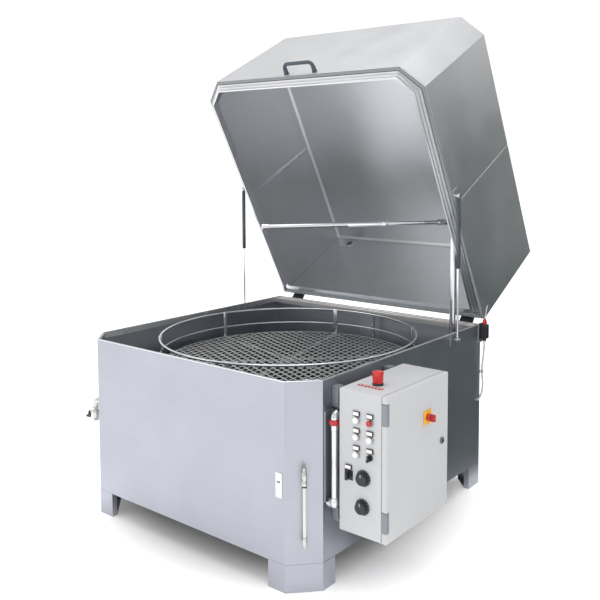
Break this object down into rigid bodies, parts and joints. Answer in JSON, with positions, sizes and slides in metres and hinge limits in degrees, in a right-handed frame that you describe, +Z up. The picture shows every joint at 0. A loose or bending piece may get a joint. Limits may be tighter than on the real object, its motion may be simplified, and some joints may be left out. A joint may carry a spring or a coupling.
{
  "type": "parts washer tank",
  "caption": "Top-loading rotary basket spray washer for parts: legged steel tank, gas sprung tilting lid, turning basket, spray pipes and a side control cabinet.",
  "frame": {"origin": "on the floor, under the middle of the open machine's outer box", "axes": "+Z up, the tank's front faces -Y, the control cabinet is on the +X side"},
  "size_m": [2.049, 2.1616, 2.5738],
  "materials": {
    "sheet": "satin brushed stainless sheet",
    "tube": "polished stainless tube",
    "dark_steel": "black phosphated steel",
    "chromed_rod": "hard chromed piston rod",
    "spring_lacquer": "dark lacquered tube",
    "powder_coat": "light grey fine textured powder coat",
    "zinc": "die cast zinc",
    "black_plastic": "moulded, satin",
    "white_plastic": "moulded, glossy",
    "red_plastic": "moulded, glossy",
    "rubber": "matt black",
    "motor_paint": "blue grey enamel",
    "grey_pvc": "ribbed grey conduit",
    "nickel_brass": "nickel plated"
  },
  "bodies": {
    "tank": {"front_panel": "sheet", "left_panel": "sheet", "right_panel": "sheet", "rear_panel": "sheet", "tank_floor": "sheet", "tank_rim": "sheet", "leg_front_left": "sheet", "leg_front_right": "sheet", "leg_rear_left": "sheet", "leg_rear_right": "sheet", "hinge_leaf_left": "dark_steel", "hinge_leaf_right": "dark_steel", "spray_manifold": "tube", "upper_spray_arm": "tube", "lower_spray_arm": "tube", "turntable_pedestal": "sheet", "basket_gearmotor": "motor_paint", "pump_unit": "motor_paint", "heater_element": "tube", "tap_body": "nickel_brass", "fill_pipe": "tube", "pipe_ring": "red_plastic", "level_gauge": "white_plastic", "limit_switch_body": "black_plastic", "switch_conduit": "grey_pvc", "cabinet_box": "powder_coat", "cabinet_mount_top": "rubber", "cabinet_mount_bottom": "rubber", "beacon": "red_plastic"},
    "lid": {"lid_front_shell": "sheet", "lid_rear_shell": "sheet", "lid_top_panel": "sheet", "lid_rim_frame": "sheet", "lid_gasket": "rubber", "lid_handle": "black_plastic", "lid_vent_port": "sheet", "lid_hinge_leaf_left": "dark_steel", "lid_hinge_leaf_right": "dark_steel"},
    "basket": {"basket_frame": "tube", "basket_floor": "tube", "basket_hub_shaft": "sheet"},
    "tap_lever": {"tap_lever": "black_plastic"},
    "limit_switch_rod": {"limit_switch_rod": "red_plastic"},
    "main_switch_handle": {"main_switch_handle": "red_plastic"},
    "door_lock": {"door_lock": "zinc"},
    "button_pump": {"button_pump": "white_plastic"},
    "button_heater": {"button_heater": "white_plastic"},
    "button_basket": {"button_basket": "white_plastic"},
    "button_stop": {"button_stop": "red_plastic"},
    "button_light": {"button_light": "white_plastic"},
    "selector_knob": {"selector_knob": "black_plastic"},
    "mode_switch": {"mode_switch": "black_plastic"},
    "thermostat_dial": {"thermostat_dial": "black_plastic"},
    "timer_dial": {"timer_dial": "black_plastic"},
    "spring_rod_left": {"spring_rod_left": "chromed_rod"},
    "spring_rod_right": {"spring_rod_right": "chromed_rod"},
    "spring_tube_left": {"spring_tube_left": "spring_lacquer"},
    "spring_tube_right": {"spring_tube_right": "spring_lacquer"},
    "cabinet_door": {"cabinet_door": "powder_coat"}
  },
  "joints": [
    {"name": "lid_hinge", "type": "hinge", "parent": "tank", "child": "lid", "pos_m": [-0.0625, 0.46418, 0.873], "axis": [1, 0, 0], "range_deg": [0, 62]},
    {"name": "spring_rod_pivot_left", "type": "hinge", "parent": "tank", "child": "spring_rod_left", "pos_m": [-0.8275, 0.12248, 0.87], "axis": [1, 0, 0], "range_deg": [0, 83.81]},
    {"name": "spring_tube_slide_left", "type": "slide", "parent": "spring_rod_left", "child": "spring_tube_left", "axis": [0, 0, 1], "range_m": [-0.2694, 0]},
    {"name": "spring_rod_pivot_right", "type": "hinge", "parent": "tank", "child": "spring_rod_right", "pos_m": [0.7025, 0.12248, 0.87], "axis": [1, 0, 0], "range_deg": [0, 83.81]},
    {"name": "spring_tube_slide_right", "type": "slide", "parent": "spring_rod_right", "child": "spring_tube_right", "axis": [0, 0, 1], "range_m": [-0.2694, 0]},
    {"name": "basket_spin", "type": "hinge", "parent": "tank", "child": "basket", "pos_m": [-0.0625, -0.32582, 0.745], "axis": [0, 0, 1], "continuous": true},
    {"name": "tap_lever_turn", "type": "hinge", "parent": "tank", "child": "tap_lever", "pos_m": [-0.9688, -0.92582, 0.432], "axis": [-1, 0, 0], "range_deg": [0, 90]},
    {"name": "limit_switch_tilt", "type": "hinge", "parent": "tank", "child": "limit_switch_rod", "pos_m": [0.7, 0.43718, 0.899], "axis": [1, 0, 0], "range_deg": [-8, 8], "stiffness_Nm_per_rad": 0.3},
    {"name": "cabinet_door_hinge", "type": "hinge", "parent": "tank", "child": "cabinet_door", "pos_m": [0.9775, -0.95982, 0.284], "axis": [0, 0, -1], "range_deg": [0, 120]},
    {"name": "main_switch_turn", "type": "hinge", "parent": "cabinet_door", "child": "main_switch_handle", "pos_m": [0.9848, -0.64782, 0.724], "axis": [1, 0, 0], "range_deg": [0, 90]},
    {"name": "door_lock_turn", "type": "hinge", "parent": "cabinet_door", "child": "door_lock", "pos_m": [0.9848, -0.52582, 0.588], "axis": [1, 0, 0], "range_deg": [0, 90]},
    {"name": "button_pump_press", "type": "slide", "parent": "tank", "child": "button_pump", "axis": [0, 1, 0], "range_m": [0, 0.0035], "stiffness_N_per_m": 400},
    {"name": "button_heater_press", "type": "slide", "parent": "tank", "child": "button_heater", "axis": [0, 1, 0], "range_m": [0, 0.0035], "stiffness_N_per_m": 400},
    {"name": "button_basket_press", "type": "slide", "parent": "tank", "child": "button_basket", "axis": [0, 1, 0], "range_m": [0, 0.0035], "stiffness_N_per_m": 400},
    {"name": "button_stop_press", "type": "slide", "parent": "tank", "child": "button_stop", "axis": [0, 1, 0], "range_m": [0, 0.0035], "stiffness_N_per_m": 400},
    {"name": "button_light_press", "type": "slide", "parent": "tank", "child": "button_light", "axis": [0, 1, 0], "range_m": [0, 0.0035], "stiffness_N_per_m": 400},
    {"name": "selector_knob_turn", "type": "hinge", "parent": "tank", "child": "selector_knob", "pos_m": [0.9055, -0.95312, 0.622], "axis": [0, 1, 0], "range_deg": [-45, 45]},
    {"name": "mode_switch_turn", "type": "hinge", "parent": "tank", "child": "mode_switch", "pos_m": [0.8005, -0.95312, 0.528], "axis": [0, 1, 0], "range_deg": [0, 60]},
    {"name": "thermostat_dial_turn", "type": "hinge", "parent": "tank", "child": "thermostat_dial", "pos_m": [0.8735, -0.95312, 0.531], "axis": [0, 1, 0], "range_deg": [0, 270]},
    {"name": "timer_dial_turn", "type": "hinge", "parent": "tank", "child": "timer_dial", "pos_m": [0.8695, -0.95312, 0.411], "axis": [0, 1, 0], "range_deg": [0, 300]}
  ],
  "couplings": [
    {"joint": "spring_rod_pivot_left", "follows": "lid_hinge", "ratio": 1.3515},
    {"joint": "spring_tube_slide_left", "follows": "lid_hinge", "m_per_rad": -0.2485},
    {"joint": "spring_rod_pivot_right", "follows": "lid_hinge", "ratio": 1.3515},
    {"joint": "spring_tube_slide_right", "follows": "lid_hinge", "m_per_rad": -0.2485}
  ]
}
